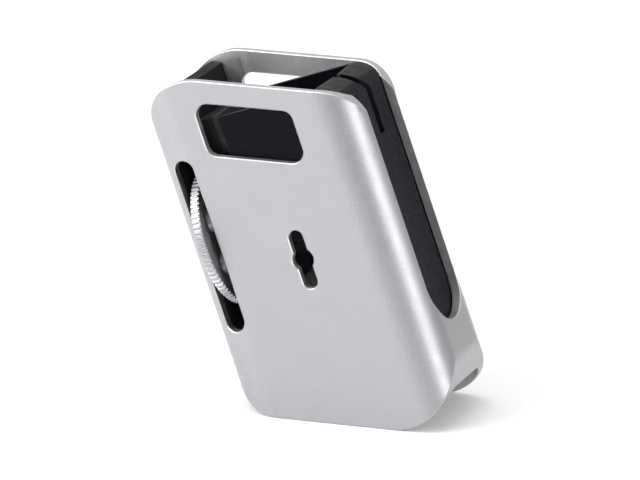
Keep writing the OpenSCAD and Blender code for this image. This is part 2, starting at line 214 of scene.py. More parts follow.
class FinishColours(bpy.types.PropertyGroup):
    """Colours of the finishes."""

    silver: tint("Silver", "Blasted and anodised aluminium", (0.50, 0.50, 0.52))
    cut: tint("Cut", "Bright chamfers and turned faces", (0.74, 0.74, 0.75))
    black: tint("Black", "Black anodised plates", (0.006, 0.006, 0.008))
    slate: tint("Slate", "Anodised nest block", (0.010, 0.0105, 0.014))
    plastic: tint("Plastic", "Moulded jaw pads", (0.011, 0.011, 0.012))
    steel: tint("Steel", "Bright steel", (0.60, 0.60, 0.59))
    turned: tint("Turned", "Turned side of the wheel", (0.42, 0.42, 0.425))
    dark_steel: tint("Dark steel", "Blackened steel", (0.10, 0.10, 0.105))
    bronze: tint("Bronze", "Sintered bronze bushes", (0.50, 0.30, 0.12))
    brass: tint("Brass", "Brass, blackened in oil", (0.13, 0.095, 0.045))
    paper: tint("Floor", "Floor of the stage", (0.86, 0.86, 0.86))


class StageSettings(bpy.types.PropertyGroup):
    """The camera's place and the strength of the light."""

    azimuth: angle("Azimuth", "Camera's turn to the right of the front", 19.1)
    elevation: angle("Elevation", "Camera's height above the horizon", 15.6)
    roll: angle("Roll", "Camera's roll", 0.21)
    lens: FloatProperty(name="Lens", description="Focal length in millimetres", default=418.7,
                        min=20.0, subtype="NONE")
    distance: FloatProperty(name="Distance", description="Camera's distance from the sleeve's face",
                            default=1.739, min=0.1, unit="LENGTH")
    aim_right: place("Aim right", "How far right of the picture's middle the sleeve stands", -6.10)
    aim_up: place("Aim up", "How far above the picture's middle the sleeve stands", -3.77)
    room_light: FloatProperty(name="Room light", description="Strength of the even light",
                              default=0.66, min=0.0)


# ---------------------------------------------------------------- meshes


def to_frame(across, depth, up):
    """Places in the frame of points given across, from front to back and up the leaning axis."""
    across, depth, up = np.broadcast_arrays(across, depth, up)
    turned = across[..., None] * ACROSS + up[..., None] * UPWARD
    turned[..., 1] += depth
    return turned + SLEEVE_MIDDLE


def grid_faces(columns, rows, closed):
    """Corner numbers of the quads between neighbouring points of a columns by rows grid."""
    column, row = np.meshgrid(np.arange(columns if closed else columns - 1),
                              np.arange(rows - 1), indexing="ij")
    beside = (column + 1) % columns
    return np.stack([column * rows + row, beside * rows + row, beside * rows + row + 1,
                     column * rows + row + 1], axis=-1).reshape(-1, 4)


class Patches:
    """Surface patches that are welded into one closed mesh."""

    def __init__(self):
        self.points, self.faces, self.finishes, self.count = [], [], [], 0

    def add(self, points, faces, finishes):
        """Adds points, the faces between them and each face's finish number."""
        self.points.append(np.reshape(points, (-1, 3)))
        self.faces.extend((np.asarray(faces) + self.count).tolist())
        self.finishes.append(np.broadcast_to(finishes, len(faces)))
        self.count += len(self.points[-1])

    def add_grid(self, points, finishes, closed=True):
        """Adds a grid of points, columns by rows, with one finish for each band between rows."""
        columns, rows = points.shape[:2]
        faces = grid_faces(columns, rows, closed)
        self.add(points, faces, np.tile(finishes, len(faces) // (rows - 1)))

    def piece(self, name, materials, sharp=24.0):
        """Welds the patches, turns their faces outwards and makes the object."""
        mesh = bpy.data.meshes.new(name)
        mesh.from_pydata(np.concatenate(self.points).tolist(), [], self.faces)
        mesh.polygons.foreach_set("material_index", np.concatenate(self.finishes).astype(np.int32))
        shape = bmesh.new()
        shape.from_mesh(mesh)
        bmesh.ops.remove_doubles(shape, verts=shape.verts, dist=WELD)
        bmesh.ops.recalc_face_normals(shape, faces=shape.faces)
        shape.to_mesh(mesh)
        open_edges = sum(1 for edge in shape.edges if len(edge.link_faces) != 2)
        shape.free()
        if open_edges:
            raise RuntimeError(f"{name} has {open_edges} edges that don't join two faces")
        mesh.shade_smooth()
        mesh.set_sharp_from_angle(angle=math.radians(sharp))
        for material in materials:
            mesh.materials.append(material)
        piece = bpy.data.objects.new(name, mesh)
        bpy.context.scene.collection.objects.link(piece)
        return piece


def inside(points, loops):
    """Whether each point lies inside the closed loops, by the number of sides to its right."""
    crossings = np.zeros(len(points), int)
    x, y = points[:, :1], points[:, 1:]
    for loop in loops:
        start, end = loop, np.roll(loop, -1, axis=0)
        spans = (start[:, 1] > y) != (end[:, 1] > y)
        rise = np.where(end[:, 1] == start[:, 1], 1.0, end[:, 1] - start[:, 1])
        meets = start[:, 0] + (y - start[:, 1]) / rise * (end[:, 0] - start[:, 0])
        crossings += (spans & (x < meets)).sum(axis=1)
    return crossings % 2 == 1


def fill(loops, spread):
    """Triangles that fill the plane between closed loops, through the spread points inside them.

    Returns the points, the loops' first, and the corner numbers of the triangles."""
    near = np.concatenate(loops)
    spread = spread[inside(spread, loops)]
    clear = np.concatenate([np.hypot(*(chunk[:, None] - near[None]).transpose(2, 0, 1)).min(axis=1)
                            for chunk in np.array_split(spread, 40)])
    points = np.concatenate([near, spread[clear > CLEAR]])
    sides, first = [], 0
    for loop in loops:
        numbers = np.arange(len(loop)) + first
        sides.extend(np.stack([numbers, np.roll(numbers, -1)], axis=1).tolist())
        first += len(loop)
    _, _, made, origins, _, _ = delaunay_2d_cdt([Vector(p) for p in points / MM], sides, [], 0, 1e-5)
    origin = np.array([numbers[0] for numbers in origins])
    triangles = origin[np.array(made)]
    first, second = (points[triangles[:, corner]] - points[triangles[:, 0]] for corner in (1, 2))
    area = np.abs(first[:, 0] * second[:, 1] - first[:, 1] * second[:, 0]) / 2
    kept = inside(points[triangles].mean(axis=1), loops) & (area > WELD ** 2)
    return points, triangles[kept]


def round_path(centres, radii, turns, steps, grow=0.0):
    """A closed outline of arcs joined by straight sides, counter-clockwise, grown outwards.

    Each arc runs about its centre through its pair of turns; steps are the numbers of parts of
    an arc and of the side after it, so that grown outlines match point for point."""
    arcs = []
    for centre, radius, (start, end), (arc_steps, _) in zip(centres, radii, turns, steps):
        angle = np.linspace(start, end, arc_steps + 1)
        ring = np.stack([np.cos(angle), np.sin(angle)], axis=1)
        arcs.append(np.array(centre) + ring * (radius + grow))
    points = []
    for arc, after, (_, parts) in zip(arcs, arcs[1:] + arcs[:1], steps):
        share = np.arange(1, parts)[:, None] / parts
        points.extend([arc, arc[-1] + (after[0] - arc[-1]) * share])
    return np.concatenate(points)


class SleeveForm:
    """The sleeve: a rounded rectangle carried up the leaning axis, cut by the front outline.

    A distance round the tube runs from the rear end of the left wall to the front, right and
    rear, and counts along the flats and along the middle of the wall at the round edges."""

    ROWS = 12
    ARC_STEPS = 24

    def __init__(self, sizes):
        self.sizes = sizes
        self.radius = (sizes.edge_radius, sizes.edge_radius - sizes.wall)
        self.half_flat = (sizes.width / 2 - sizes.edge_radius, SLEEVE_DEPTH / 2 - sizes.edge_radius)
        flat_x, flat_y = self.half_flat
        quarter = math.pi / 4 * sum(self.radius)
        self.ends = np.cumsum([0.0] + [2 * flat_y, quarter, 2 * flat_x, quarter] * 2)
        self.core_x = flat_x * np.array([-1, -1, -1, 1, 1, 1, 1, -1, -1])
        self.core_y = flat_y * np.array([1, -1, -1, -1, -1, 1, 1, 1, 1])
        self.heading = math.pi * np.array([1, 1, 1.5, 1.5, 2, 2, 2.5, 2.5, 3])

    def around(self, distance, skin):
        """Points and outward directions at distances round the outer or inner skin."""
        heading = np.interp(distance, self.ends, self.heading)
        outward = np.stack([np.cos(heading), np.sin(heading)], axis=-1)
        core = np.stack([np.interp(distance, self.ends, self.core_x),
                         np.interp(distance, self.ends, self.core_y)], axis=-1)
        return core + self.radius[skin] * outward, outward

    def unroll(self, across, depth):
        """Distances round the tube of points on a skin."""
        flat_x, flat_y = self.half_flat
        core_x, core_y = np.clip(across, -flat_x, flat_x), np.clip(depth, -flat_y, flat_y)
        heading = np.arctan2(depth - core_y, across - core_x)
        heading = np.where(heading < math.pi - SLACK, heading + 2 * math.pi, heading)
        along = np.select(
            [heading < turns * math.pi - SLACK for turns in (1.5, 2, 2.5)],
            [flat_y - core_y, 2 * flat_y + flat_x + core_x, 3 * flat_y + 2 * flat_x + core_y],
            4 * flat_y + 3 * flat_x - core_x)
        return along + (heading - math.pi) * sum(self.radius) / 2

    def skin_depth(self, across, skin):
        """Distance of the front and rear skins from the leaning axis."""
        past = np.maximum(np.abs(across) - self.half_flat[0], 0.0)
        return self.half_flat[1] + np.sqrt(self.radius[skin] ** 2 - past ** 2)

    def skin_across(self, depth, skin):
        """Distance of the side skins from the leaning axis."""
        past = np.maximum(np.abs(depth) - self.half_flat[1], 0.0)
        return self.half_flat[0] + np.sqrt(self.radius[skin] ** 2 - past ** 2)

    def top(self, across):
        """Height of the top end, up the leaning axis, and the across part of its face's normal.

        The end is level and rounds into both leaning sides."""
        radius, half = self.sizes.corner_radius, self.sizes.width / 2
        left, right = -half + radius, half - radius
        level = SLEEVE_HEIGHT / 2 - radius
        drop = SIN / COS
        arcs = [level / COS - middle * drop
                + np.sqrt(np.maximum(radius ** 2 - (across - middle) ** 2, 0.0))
                for middle in (left, right)]
        where = [across < left + radius * SIN, across > right + radius * SIN]
        height = np.select(where, arcs, SLEEVE_HEIGHT / 2 / COS - across * drop)
        lean = np.select(where, [(across - left) / radius, (across - right) / radius], SIN)
        return height, lean

    def end(self, across, side):
        """Height and lean of the top end (side 1) or of the bottom end (side -1)."""
        height, lean = self.top(side * across)
        return side * height, side * lean

    def rim(self, outer, inner, side):
        """Grid over the cut end: outer skin, chamfer, cut face, chamfer, inner skin.

        The columns start at distances round the outer skin and end at those round the inner."""
        cut, wall = self.sizes.chamfer, self.sizes.wall
        start, start_out = self.around(outer, OUTER)
        finish, finish_out = self.around(inner, INNER)
        share = [cut / wall * np.sqrt(1 - (out[:, 0] * self.end(point[:, 0], side)[1]) ** 2)
                 for point, out in ((start, start_out), (finish, finish_out))]
        steps = np.linspace(0, 1, self.ROWS - 2) ** 2
        across_wall = share[0][:, None] + (1 - share[0] - share[1])[:, None] * steps
        across_wall = np.concatenate([np.zeros((len(outer), 1)), across_wall,
                                      np.ones((len(outer), 1))], axis=1)
        point = start[:, None] + (finish - start)[:, None] * across_wall[..., None]
        up = self.end(point[..., 0], side)[0]
        up[:, [0, -1]] -= side * cut
        return np.concatenate([point, up[..., None]], axis=-1)

    def gap(self):
        """Grid round the stem gap: down its front side, round its low end and up its rear side."""
        cut, half = self.sizes.chamfer, self.sizes.gap_width / 2
        centre = self.sizes.gap_low + half
        slide = np.linspace(0, 1, 24)
        turn = np.linspace(math.pi, 2 * math.pi, 49)[1:-1]
        angle = np.concatenate([np.full(24, math.pi), turn, np.full(24, 2 * math.pi)])[:, None]
        sunk = np.concatenate([slide, np.ones(len(turn)), slide[::-1]])[:, None]
        reach = half + np.where(np.isin(np.arange(self.ROWS), [0, self.ROWS - 1]), cut, 0.0)
        depth = reach * np.cos(angle)
        steps = np.linspace(0, 1, self.ROWS - 2)
        outer, inner = self.skin_across(depth, OUTER), self.skin_across(depth, INNER)
        across = outer.copy()
        across[:, 1:-1] = (outer[:, 1:-1] - cut) * (1 - steps) + (inner[:, 1:-1] + cut) * steps
        across[:, -1] = inner[:, -1]
        top = self.end(across, 1)[0] - cut
        up = top + (centre + reach * np.sin(angle) - top) * sunk
        return np.stack([across, depth, up], axis=-1)

    def hole(self, path, rows, faces_across, side):
        """Grid through one wall: path(grow) is the outline, rows are (grow, skin, depth)."""
        columns = []
        for grow, skin, depth in rows:
            outline = path(grow)
            sunk = -depth if skin == OUTER else depth
            if faces_across:
                spot = side * (self.skin_across(outline[:, 0], skin) + sunk)
                columns.append(np.stack([spot, outline[:, 0], outline[:, 1]], axis=1))
            else:
                spot = side * (self.skin_depth(outline[:, 0], skin) + sunk)
                columns.append(np.stack([outline[:, 0], spot, outline[:, 1]], axis=1))
        return np.stack(columns, axis=1)

    def distances(self):
        """Distances round the tube of the columns that follow its flats and round edges."""
        steps = [12, self.ARC_STEPS, 84, self.ARC_STEPS] * 2
        return np.concatenate([np.linspace(a, b, n + 1)[:-1]
                               for a, b, n in zip(self.ends[:-1], self.ends[1:], steps)])

    def window_path(self, grow):
        """Outline of a window: level top and bottom, leaning sides, round corners."""
        s = self.sizes
        radius = s.window_radius
        corners = [(s.window_left + radius, s.window_bottom + radius),
                   (s.window_right - radius, s.window_bottom + radius),
                   (s.window_right - radius, s.window_top - radius),
                   (s.window_left + radius, s.window_top - radius)]
        centres = [(x, (z - SLEEVE_HEIGHT / 2) / COS - x * SIN / COS) for x, z in corners]
        level = math.acos(SIN)
        turns = [(math.pi, math.pi + level), (math.pi + level, 2 * math.pi), (0, level),
                 (level, math.pi)]
        steps = [(12, 12), (16, 5), (12, 12), (16, 5)]
        return round_path(centres, [radius] * 4, turns, steps, grow)

    def slot_path(self, grow):
        """Outline of the wheel slot: two half circles joined by straight sides."""
        s = self.sizes
        reach = (s.slot_length - s.slot_width) / 2
        centres = [(s.slot_across, s.slot_up + reach), (s.slot_across, s.slot_up - reach)]
        turns = [(0, math.pi), (math.pi, 2 * math.pi)]
        return round_path(centres, [s.slot_width / 2] * 2, turns, [(28, 24)] * 2, grow)

    def key_path(self, grow):
        """Outline of the keyhole: a slot with a wider round hole at its middle."""
        s = self.sizes
        slot, hole = s.key_width / 2, s.key_hole / 2
        reach = s.key_length / 2 - slot
        half_open = math.asin(math.sqrt(1 - ((slot + grow) / (hole + grow)) ** 2))
        centres = [(s.key_across, s.key_up + up) for up in (reach, 0, -reach, 0)]
        turns = [(0, math.pi), (math.pi - half_open, math.pi + half_open),
                 (math.pi, 2 * math.pi), (-half_open, half_open)]
        return round_path(centres, [slot, hole, slot, hole], turns, [(24, 4), (16, 4)] * 2, grow)

    def screw_path(self, across, up):
        """Outline of a countersunk screw's seat, at that place of its wall."""
        def path(grow):
            half_turns = [(0, math.pi), (math.pi, 2 * math.pi)]
            return round_path([(across, up)] * 2, [self.sizes.head_radius] * 2, half_turns,
                              [(24, 1)] * 2, grow)
        return path


def sleeve_patches(sizes):
    """The sleeve as a developed sheet wrapped round the tube, with walls in its cut-outs."""
    form = SleeveForm(sizes)
    cut = sizes.chamfer
    plain = [BRIGHT_CUT] + [MILLED] * (form.ROWS - 3) + [BRIGHT_CUT]
    distances = form.distances()
    low = form.rim(distances, distances, -1)

    edge = -(sizes.gap_width / 2 + cut)
    reach = [form.unroll(form.skin_across(np.array(side * edge), skin), side * edge)
             for side in (1, -1) for skin in (OUTER, INNER)]
    before = distances[distances < form.ends[3] - WELD]
    after = distances[distances > form.ends[6] + WELD]
    steps = form.ARC_STEPS + 1
    front = [np.concatenate([before, np.linspace(form.ends[3], reach[skin], steps)])
             for skin in (OUTER, INNER)]
    rear = [np.concatenate([np.linspace(reach[2 + skin], form.ends[6], steps), after])
            for skin in (OUTER, INNER)]
    gap = form.gap()
    high = np.concatenate([form.rim(*front, 1), gap, form.rim(*rear, 1)])

    patches = Patches()
    patches.add_grid(to_frame(*np.moveaxis(low, -1, 0)), [BLASTED] * (form.ROWS - 1))
    columns = len(high)
    finishes = np.tile(plain, (columns, 1))
    # The gap's own chamfer crosses the end's cut face at both of the gap's upper corners
    finishes[[len(front[0]) - 1, len(front[0]) + len(gap) - 1]] = BRIGHT_CUT
    patches.add(to_frame(*np.moveaxis(high, -1, 0)), grid_faces(columns, form.ROWS, True),
                finishes.ravel())

    through = [(cut, OUTER, 0), (0, OUTER, cut), (0, INNER, cut), (cut, INNER, 0)]
    through_finish = [BRIGHT_CUT, MILLED, BRIGHT_CUT]
    sink = sizes.shank_radius - sizes.head_radius
    seat = [(SEAT_CUT, OUTER, 0), (0, OUTER, SEAT_CUT), (sink, OUTER, SEAT_DEPTH),
            (sink, INNER, 0)]
    seat_finish = [BRIGHT_CUT, MILLED, MILLED]
    holes = [(form.hole(form.window_path, through, False, -1), through_finish),
             (form.hole(form.window_path, through, False, 1), through_finish),
             (form.hole(form.slot_path, through, False, -1), through_finish),
             (form.hole(form.key_path, through, False, -1), through_finish)]
    for up in WALL_SCREWS:
        holes.append((form.hole(form.screw_path(0.0, up), seat, True, -1), seat_finish))
    for across, up in REAR_SCREWS:
        holes.append((form.hole(form.screw_path(across, up), seat, False, 1), seat_finish))
    for grid, finish in holes:
        patches.add_grid(to_frame(*np.moveaxis(grid, -1, 0)), finish)

    # The inner skin takes the drawn finish, whose lighter colour is partly painted light on the
    # inside
    for skin, row, finish in ((OUTER, 0, BLASTED), (INNER, -1, DRAWN_PAINTED_LIGHT)):
        side_across = form.around(np.zeros(1), skin)[0][0, 0]
        ends = [form.end(np.array(side_across), side)[0] - side * cut for side in (-1, 1)]
        seam = np.linspace(*ends, 34)[1:-1]
        length_round = form.ends[-1]
        below = np.stack([np.append(distances, length_round), np.append(low[:, row, 2], ends[0])], 1)
        gap_line = gap[:, row]
        above = np.concatenate([
            np.stack([front[skin], high[:len(front[0]), row, 2]], 1),
            np.stack([form.unroll(gap_line[:, 0], gap_line[:, 1]), gap_line[:, 2]], 1),
            np.stack([rear[skin], high[-len(rear[0]):, row, 2]], 1),
            [[length_round, ends[1]]]])
        distinct = np.concatenate([[True], np.hypot(*np.diff(above, axis=0).T) > WELD])
        border = np.concatenate([below, np.stack([np.full(len(seam), length_round), seam], 1),
                                 above[distinct][::-1],
                                 np.stack([np.zeros(len(seam)), seam[::-1]], 1)])
        loops = [border]
        for grid, _ in holes:
            line = grid[:, row]
            loops.append(np.stack([form.unroll(line[:, 0], line[:, 1]), line[:, 2]], 1))
        flats = [np.linspace(a, b, n) for a, b, n in
                 zip(form.ends[:-1:2], form.ends[1::2], (7, 15, 7, 15))]
        arcs = [np.linspace(a, b, form.ARC_STEPS + 1) for a, b in
                zip(form.ends[1::2], form.ends[2::2])]
        spread_round = np.unique(np.concatenate(flats + arcs).round(7))
        spread_up = np.linspace(-1, 1, 60) * 0.7 * SLEEVE_HEIGHT
        spread = np.stack(np.meshgrid(spread_round, spread_up), axis=-1).reshape(-1, 2)
        spread = spread[(spread[:, 0] > WELD) & (spread[:, 0] < length_round - WELD)]
        flat_points, triangles = fill(loops, spread)
        around = form.around(flat_points[:, 0], skin)[0]
        solid = np.stack([around[:, 0], around[:, 1], flat_points[:, 1]], axis=1)
        known = np.concatenate([low[:, row], low[:1, row]])
        solid[:len(known)] = known
        patches.add(to_frame(*solid.T), triangles, finish)
    return patches


def turned(stations, radii):
    """Grid turned about the screw's axis: stations along it by radii, stations by angles."""
    around = radii.shape[1]
    angle = np.linspace(0, 2 * math.pi, around, endpoint=False)[:, None]
    ring = np.cos(angle) * np.array([0.0, 1.0, 0.0]) + np.sin(angle) * UPWARD
    return (SCREW_AXIS + np.asarray(stations)[None, :, None] * ACROSS
            + radii.T[:, :, None] * ring[:, None])


def wheel_rim_patches(sizes):
    """The rim: a rectangle with chamfers turned about the screw, its outside cut into teeth.

    The radius over the teeth falls by the tooth depth in each groove, by a clipped cosine."""
    around = sizes.teeth * TOOTH_STEPS
    phase = np.arange(around) / TOOTH_STEPS * 2 * math.pi
    groove = np.clip(0.5 - 0.9 * np.cos(phase), 0.0, 1.0)
    crest = sizes.radius - sizes.tooth_depth * (1 - groove)
    shoulder = np.full(around, sizes.radius - sizes.tooth_depth - sizes.chamfer / 3)
    bore = np.full(around, sizes.inner_radius)
    half = sizes.thickness / 2
    land = half - sizes.chamfer
    stations = WHEEL_ACROSS + np.array([-half, -half, -land, land, half, half, -half])
    radii = np.stack([bore, shoulder, crest, crest, shoulder, bore, bore])
    patches = Patches()
    patches.add_grid(turned(stations, radii), [0] * (len(stations) - 1))
    return patches


def lead_screw_patches(sizes):
    """The lead screw: a journal at each end and a trapezoid thread between them.

    The radius is a clipped triangle wave of the distance along the screw in leads, less the
    share of a turn, and it fades into the journals over half a lead at each end."""
    around, steps = 48, 18
    pitch = sizes.lead / steps
    thread = np.arange(sizes.thread_left, sizes.thread_right, pitch)
    cap = sizes.root_radius - SCREW_CHAMFER
    stations = np.concatenate([
        [sizes.left_end, sizes.left_end, sizes.left_end + SCREW_CHAMFER,
         sizes.thread_left - SCREW_RUN],
        thread,
        [sizes.thread_right + SCREW_RUN, sizes.right_end - SCREW_CHAMFER, sizes.right_end,
         sizes.right_end]])
    turn = np.arange(around) / around
    phase = (thread[:, None] / sizes.lead - turn) % 1.0
    wave = np.clip(2.2 - 6.0 * np.abs(phase - 0.5), 0.0, 1.0)
    from_end = np.minimum(thread - sizes.thread_left, sizes.thread_right - thread)
    fade = np.clip(from_end / (sizes.lead / 2), 0.0, 1.0)[:, None]
    height = sizes.crest_radius - sizes.root_radius
    ends = np.array([0.0, cap, sizes.root_radius, sizes.root_radius])[:, None] * np.ones(around)
    radii = np.concatenate([ends, sizes.root_radius + height * wave * fade, ends[::-1]])
    patches = Patches()
    patches.add_grid(turned(stations, radii), [0] * (len(stations) - 1))
    return patches


# ---------------------------------------------------------------- finishes


class Finish:
    """A finish being made up from nodes, with its pattern laid out in millimetres.

    The pattern's X runs across the sleeve, Y from front to back and Z up the leaning axis."""

    def __init__(self, name, colour, roughness, metallic=1.0, gloss=0.5):
        self.material = bpy.data.materials.new(f"{name}_finish")
        self.material.use_nodes = True
        self.nodes, self.links = self.material.node_tree.nodes, self.material.node_tree.links
        self.nodes.clear()
        self.shader = self.node("ShaderNodeBsdfPrincipled", {
            "Metallic": metallic, "Specular IOR Level": gloss, "Base Color": (*colour, 1.0),
            "Roughness": roughness})
        self.node("ShaderNodeOutputMaterial", {"Surface": self.shader.outputs["BSDF"]})
        self.place = self.nodes.new("ShaderNodeTexCoord").outputs["Object"]
        self.base, self.roughness = tuple(colour), roughness

    def node(self, kind, inputs, **settings):
        """Adds a node. Each of its inputs is given a value, or the socket that feeds it."""
        made = self.nodes.new(kind)
        for name, value in settings.items():
            setattr(made, name, value)
        for name, value in inputs.items():
            if isinstance(value, bpy.types.NodeSocket):
                self.links.new(value, made.inputs[name])
            else:
                made.inputs[name].default_value = value
        return made

    def feed(self, name, plain):
        """What feeds an input of the shader so far, or its plain value."""
        links = self.shader.inputs[name].links
        return links[0].from_socket if links else plain

    def pattern(self, size, stretch=EVEN, detail=2.0):
        """Cloudy noise whose patches are about size millimetres, longer where stretch is over 1."""
        turn = self.node("ShaderNodeMapping", {
            "Vector": self.place, "Rotation": (0.0, math.asin(SIN), 0.0)})
        layout = self.node("ShaderNodeMapping", {
            "Vector": turn.outputs["Vector"],
            "Scale": tuple(1 / (size * MM * part) for part in stretch)})
        noise = self.node("ShaderNodeTexNoise", {
            "Vector": layout.outputs["Vector"], "Scale": 1.0, "Detail": detail})
        return noise.outputs["Fac"]

    def spread(self, pattern, low, high):
        """The pattern's middle range spread over low to high."""
        return self.node("ShaderNodeMapRange", {
            "Value": pattern, "From Min": 0.3, "From Max": 0.7, "To Min": low,
            "To Max": high}).outputs["Result"]

    def blend_colour(self, share, second):
        """Blends the colour so far into a second colour by a share from 0 to 1."""
        mix = self.node("ShaderNodeMix", {
            MIX_FIRST: self.feed("Base Color", (*self.base, 1.0)), MIX_SECOND: (*second, 1.0),
            MIX_SHARE: share}, data_type="RGBA")
        self.links.new(mix.outputs[MIX_RESULT], self.shader.inputs["Base Color"])

    def tone(self, pattern, depth):
        """Darkens the colour by up to depth in the pattern's low patches."""
        self.blend_colour(self.spread(pattern, depth, 0.0), shade(self.base, DARK_SHARE))

    def shine(self, pattern, spread):
        """Lets the roughness vary by the spread either way."""
        add = self.node("ShaderNodeMath", {0: self.spread(pattern, -spread, spread),
                                           1: self.roughness})
        self.links.new(add.outputs["Value"], self.shader.inputs["Roughness"])

    def emboss(self, pattern, height):
        """Raises the surface by the pattern, height in millimetres."""
        bump = self.node("ShaderNodeBump", {"Strength": 1.0, "Distance": height * MM,
                                            "Height": pattern})
        self.links.new(bump.outputs["Normal"], self.shader.inputs["Normal"])

    def wear(self, colour, width, share):
        """Shows the bare colour along edges, width in millimetres, broken up by patches."""
        edge = self.node("ShaderNodeBevel", {"Radius": width * MM}, samples=6)
        surface = self.nodes.new("ShaderNodeNewGeometry")
        facing = self.node("ShaderNodeVectorMath", {
            0: edge.outputs["Normal"], 1: surface.outputs["True Normal"]},
            operation="DOT_PRODUCT")
        sharp = self.node("ShaderNodeMapRange", {
            "Value": facing.outputs["Value"], "From Min": 0.98, "From Max": 0.80,
            "To Max": share})
        broken = self.node("ShaderNodeMath", {
            0: sharp.outputs["Result"], 1: self.spread(self.pattern(WEAR_PATCH), 0.25, 1.0)},
            operation="MULTIPLY")
        self.blend_colour(broken.outputs["Value"], colour)

    def patterned(self, shine, grain=None, tone=0.0, relief=0.0, drift=None, clouds=None,
                  wear=None):
        """Adds the patterns and returns the material. Sizes and heights are in millimetres.

        The grain is what pattern() takes, with how far it darkens and how high it rises. Drift
        is the size and tone of wider patches, clouds the size, share and colour of a second
        tint, shine how far the roughness varies and its pattern, wear what wear() takes."""
        if tone:
            self.tone(self.pattern(*grain), tone)
        if drift:
            self.tone(self.pattern(drift[0]), drift[1])
        if clouds:
            size, share, colour = clouds
            self.blend_colour(self.spread(self.pattern(size), 0.0, share), colour)
        self.shine(self.pattern(*shine[1:]), shine[0])
        if relief:
            self.emboss(self.pattern(*grain), relief)
        if wear:
            self.wear(*wear)
        return self.material


def shade(colour, share):
    """A colour made darker or lighter by a share."""
    return tuple(share * part for part in colour)


def finish_recipes(colours):
    """Every finish by its name: colour, roughness, metallic share and gloss, then its patterns."""
    fine_blast, blast = (0.30, EVEN, 3.0), (0.22, EVEN, 3.0)
    return {
        # Bead blasted, clear anodised: a fine even grain under a satin skin
        "blasted_aluminium": ((colours.silver, 0.40), dict(
            grain=fine_blast, tone=0.28, relief=0.020, drift=(9.0, 0.03), shine=(0.025, 3.0))),
        # The sleeve's inside: die lines that run up the leaning axis, on the light cut colour, which
        # is partly painted light: the inside is coloured lighter than the silver outside to stand in
        # for light that reaches it
        "drawn_aluminium_painted_light": ((colours.cut, 0.42), dict(
            grain=(0.5, (1.0, 1.0, 60.0), 4.0), tone=0.16, relief=0.004,
            shine=(0.06, 0.35, (1.0, 1.0, 90.0)))),
        # Cut faces: fine cutter marks that run through the wall
        "milled_aluminium": ((shade(colours.cut, 0.8), 0.50), dict(
            grain=(0.22, (1.0, 40.0, 1.0), 3.0), tone=0.12, relief=0.002, shine=(0.05, 2.0))),
        # The chamfers: bare bright aluminium left by the last cut
        "bright_cut": ((shade(colours.cut, 0.85), 0.42), dict(
            drift=(0.5, 0.06), shine=(0.05, 1.2))),
        # The wheel's rim: turned rings, a little duller where it is handled
        "knurled_aluminium": ((colours.silver, 0.40), dict(
            grain=(0.12, (1.0, 20.0, 20.0)), relief=0.002, drift=(1.1, 0.10), shine=(0.08, 2.5))),
        # The wheel's side face: fine rings from turning under a grey skin, with rubbed edges
        "turned_anodised": ((colours.turned, 0.55), dict(
            grain=(0.3, (1.0, 12.0, 12.0)), tone=0.35, relief=0.002, shine=(0.08, 2.0),
            wear=(colours.silver, 0.10, 0.5))),
        # Black anodised plate: a fine blasted grain and edges rubbed to the metal
        "black_anodised": ((colours.black, 0.50, 0.2, 0.12), dict(
            grain=(0.14, EVEN, 3.0), relief=0.005, shine=(0.06, 4.0),
            wear=(colours.cut, 0.10, 0.18))),
        # Blackened steel plate: cloudy oxide over faint grinding lines
        "black_steel": ((shade(colours.black, 1.5), 0.50, 0.1, 0.06), dict(
            grain=(0.18, (1.0, 30.0, 1.0)), relief=0.002, shine=(0.07, 1.5),
            clouds=(3.5, 0.6, (0.012, 0.012, 0.016)), wear=(colours.steel, 0.10, 0.12))),
        # The nest: slate-blue anodised aluminium with a coarse blasted grain
        "nest_anodised": ((colours.slate, 0.40, 0.8, 0.1), dict(
            grain=blast, tone=0.28, relief=0.009, shine=(0.06, 2.5),
            wear=(colours.silver, 0.12, 0.55))),
        # Machined black acetal: matte, with the cutter's fine lines and rubbed edges
        "black_acetal": ((colours.plastic, 0.48, 0.0, 0.2), dict(
            grain=(0.25, (25.0, 1.0, 25.0)), relief=0.003, shine=(0.07, 2.0),
            clouds=(6.0, 0.5, (0.016, 0.0155, 0.0145)), wear=((0.11, 0.11, 0.11), 0.12, 0.5))),
        # Pads: softer black plastic with a pebbled skin that shines where a movement rubs
        "jaw_plastic": ((colours.plastic, 0.55, 0.0), dict(
            grain=(0.3, EVEN, 1.0), relief=0.012, shine=(0.12, 1.8),
            wear=((0.07, 0.07, 0.07), 0.15, 0.5))),
        # Turned and polished steel: fine rings about the travel line
        "bright_steel": ((colours.steel, 0.22), dict(
            grain=(0.08, (1.0, 15.0, 15.0)), tone=0.08, relief=0.001, shine=(0.06, 1.4))),
        # Blackened spring steel, worn along its edges
        "dark_steel": ((colours.dark_steel, 0.34), dict(
            drift=(0.8, 0.25), shine=(0.08, 0.6), wear=(colours.steel, 0.06, 0.5))),
        # Sintered bronze: open pores, darker where oil stands in them
        "bronze": ((colours.bronze, 0.42), dict(
            grain=(0.12, EVEN, 3.0), tone=0.35, relief=0.006, shine=(0.08, 1.0))),
        # Turned brass blackened in oil, with fine rings and rubbed patches
        "brass": ((colours.brass, 0.28), dict(
            grain=(0.10, (1.0, 15.0, 15.0)), tone=0.08, relief=0.0015, shine=(0.07, 0.9),
            clouds=(2.2, 0.35, (0.05, 0.04, 0.03)))),
    }


def made_finish(name, colours):
    """A finish by its name, made once."""
    made = bpy.data.materials.get(f"{name}_finish")
    if made:
        return made
    look, patterns = finish_recipes(colours)[name]
    return Finish(name, *look).patterned(**patterns)


